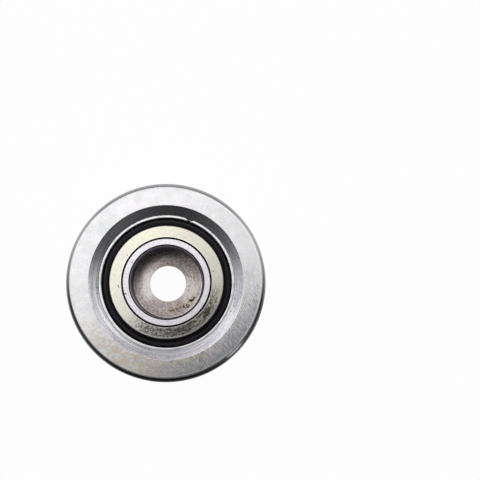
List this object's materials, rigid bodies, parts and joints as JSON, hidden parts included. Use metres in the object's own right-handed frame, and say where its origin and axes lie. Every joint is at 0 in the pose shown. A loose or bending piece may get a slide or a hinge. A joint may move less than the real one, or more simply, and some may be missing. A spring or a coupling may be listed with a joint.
{
  "type": "forklift mast roller",
  "caption": "Sealed mast roller: a thick crowned outer ring that turns on caged cylindrical rollers round a hub bored from both ends.",
  "frame": {"origin": "centre of the rear end face of the hub, on which the roller stands", "axes": "+Z along the roller's axis from the rear face to the dished front with the seal; the front retaining ring's gap lies 70.5 degrees from +X towards +Y"},
  "size_m": [0.0768, 0.0768, 0.03],
  "materials": {
    "ring_steel": "hardened steel, fine turned faces and a ground tread",
    "hub_steel": "bearing steel, ground outside and turned in the bores",
    "passivated_steel": "turned steel with a pale yellow passivated film",
    "sheet_steel": "pressed sheet steel, oiled",
    "spring_steel": "bright flat spring steel",
    "seal_rubber": "black nitrile rubber, satin",
    "cage_nylon": "black moulded glass-filled nylon",
    "roller_steel": "ground and lapped bearing steel"
  },
  "bodies": {
    "inner": {"inner_ring": "hub_steel", "front_side_washer": "passivated_steel", "rear_side_washer": "passivated_steel"},
    "outer": {"outer_ring": "ring_steel", "front_seal_case": "sheet_steel", "rear_seal_case": "sheet_steel", "front_seal_lip": "seal_rubber", "rear_seal_lip": "seal_rubber", "front_retaining_ring": "spring_steel", "rear_retaining_ring": "spring_steel"},
    "cage": {"roller_cage": "cage_nylon"},
    "roller_01_body": {"roller_01": "roller_steel"},
    "roller_02_body": {"roller_02": "roller_steel"},
    "roller_03_body": {"roller_03": "roller_steel"},
    "roller_04_body": {"roller_04": "roller_steel"},
    "roller_05_body": {"roller_05": "roller_steel"},
    "roller_06_body": {"roller_06": "roller_steel"},
    "roller_07_body": {"roller_07": "roller_steel"},
    "roller_08_body": {"roller_08": "roller_steel"},
    "roller_09_body": {"roller_09": "roller_steel"},
    "roller_10_body": {"roller_10": "roller_steel"},
    "roller_11_body": {"roller_11": "roller_steel"},
    "roller_12_body": {"roller_12": "roller_steel"},
    "roller_13_body": {"roller_13": "roller_steel"},
    "roller_14_body": {"roller_14": "roller_steel"},
    "roller_15_body": {"roller_15": "roller_steel"}
  },
  "joints": [
    {"name": "outer_ring_spin", "type": "hinge", "parent": "inner", "child": "outer", "pos_m": [0, 0, 0.015], "axis": [0, 0, 1], "continuous": true},
    {"name": "cage_orbit", "type": "hinge", "parent": "inner", "child": "cage", "pos_m": [0, 0, 0.015], "axis": [0, 0, 1], "continuous": true},
    {"name": "roller_01_spin", "type": "hinge", "parent": "cage", "child": "roller_01_body", "pos_m": [0.02225, 0, 0.015], "axis": [0, 0, 1], "continuous": true},
    {"name": "roller_02_spin", "type": "hinge", "parent": "cage", "child": "roller_02_body", "pos_m": [0.02033, 0.00905, 0.015], "axis": [0, 0, 1], "continuous": true},
    {"name": "roller_03_spin", "type": "hinge", "parent": "cage", "child": "roller_03_body", "pos_m": [0.01489, 0.01653, 0.015], "axis": [0, 0, 1], "continuous": true},
    {"name": "roller_04_spin", "type": "hinge", "parent": "cage", "child": "roller_04_body", "pos_m": [0.00688, 0.02116, 0.015], "axis": [0, 0, 1], "continuous": true},
    {"name": "roller_05_spin", "type": "hinge", "parent": "cage", "child": "roller_05_body", "pos_m": [-0.00233, 0.02213, 0.015], "axis": [0, 0, 1], "continuous": true},
    {"name": "roller_06_spin", "type": "hinge", "parent": "cage", "child": "roller_06_body", "pos_m": [-0.01112, 0.01927, 0.015], "axis": [0, 0, 1], "continuous": true},
    {"name": "roller_07_spin", "type": "hinge", "parent": "cage", "child": "roller_07_body", "pos_m": [-0.018, 0.01308, 0.015], "axis": [0, 0, 1], "continuous": true},
    {"name": "roller_08_spin", "type": "hinge", "parent": "cage", "child": "roller_08_body", "pos_m": [-0.02176, 0.00463, 0.015], "axis": [0, 0, 1], "continuous": true},
    {"name": "roller_09_spin", "type": "hinge", "parent": "cage", "child": "roller_09_body", "pos_m": [-0.02176, -0.00463, 0.015], "axis": [0, 0, 1], "continuous": true},
    {"name": "roller_10_spin", "type": "hinge", "parent": "cage", "child": "roller_10_body", "pos_m": [-0.018, -0.01308, 0.015], "axis": [0, 0, 1], "continuous": true},
    {"name": "roller_11_spin", "type": "hinge", "parent": "cage", "child": "roller_11_body", "pos_m": [-0.01112, -0.01927, 0.015], "axis": [0, 0, 1], "continuous": true},
    {"name": "roller_12_spin", "type": "hinge", "parent": "cage", "child": "roller_12_body", "pos_m": [-0.00233, -0.02213, 0.015], "axis": [0, 0, 1], "continuous": true},
    {"name": "roller_13_spin", "type": "hinge", "parent": "cage", "child": "roller_13_body", "pos_m": [0.00688, -0.02116, 0.015], "axis": [0, 0, 1], "continuous": true},
    {"name": "roller_14_spin", "type": "hinge", "parent": "cage", "child": "roller_14_body", "pos_m": [0.01489, -0.01653, 0.015], "axis": [0, 0, 1], "continuous": true},
    {"name": "roller_15_spin", "type": "hinge", "parent": "cage", "child": "roller_15_body", "pos_m": [0.02033, -0.00905, 0.015], "axis": [0, 0, 1], "continuous": true}
  ],
  "couplings": [
    {"joint": "cage_orbit", "follows": "outer_ring_spin", "ratio": 0.57865},
    {"joint": "roller_01_spin", "follows": "outer_ring_spin", "ratio": 3.0999},
    {"joint": "roller_02_spin", "follows": "outer_ring_spin", "ratio": 3.0999},
    {"joint": "roller_03_spin", "follows": "outer_ring_spin", "ratio": 3.0999},
    {"joint": "roller_04_spin", "follows": "outer_ring_spin", "ratio": 3.0999},
    {"joint": "roller_05_spin", "follows": "outer_ring_spin", "ratio": 3.0999},
    {"joint": "roller_06_spin", "follows": "outer_ring_spin", "ratio": 3.0999},
    {"joint": "roller_07_spin", "follows": "outer_ring_spin", "ratio": 3.0999},
    {"joint": "roller_08_spin", "follows": "outer_ring_spin", "ratio": 3.0999},
    {"joint": "roller_09_spin", "follows": "outer_ring_spin", "ratio": 3.0999},
    {"joint": "roller_10_spin", "follows": "outer_ring_spin", "ratio": 3.0999},
    {"joint": "roller_11_spin", "follows": "outer_ring_spin", "ratio": 3.0999},
    {"joint": "roller_12_spin", "follows": "outer_ring_spin", "ratio": 3.0999},
    {"joint": "roller_13_spin", "follows": "outer_ring_spin", "ratio": 3.0999},
    {"joint": "roller_14_spin", "follows": "outer_ring_spin", "ratio": 3.0999},
    {"joint": "roller_15_spin", "follows": "outer_ring_spin", "ratio": 3.0999}
  ]
}
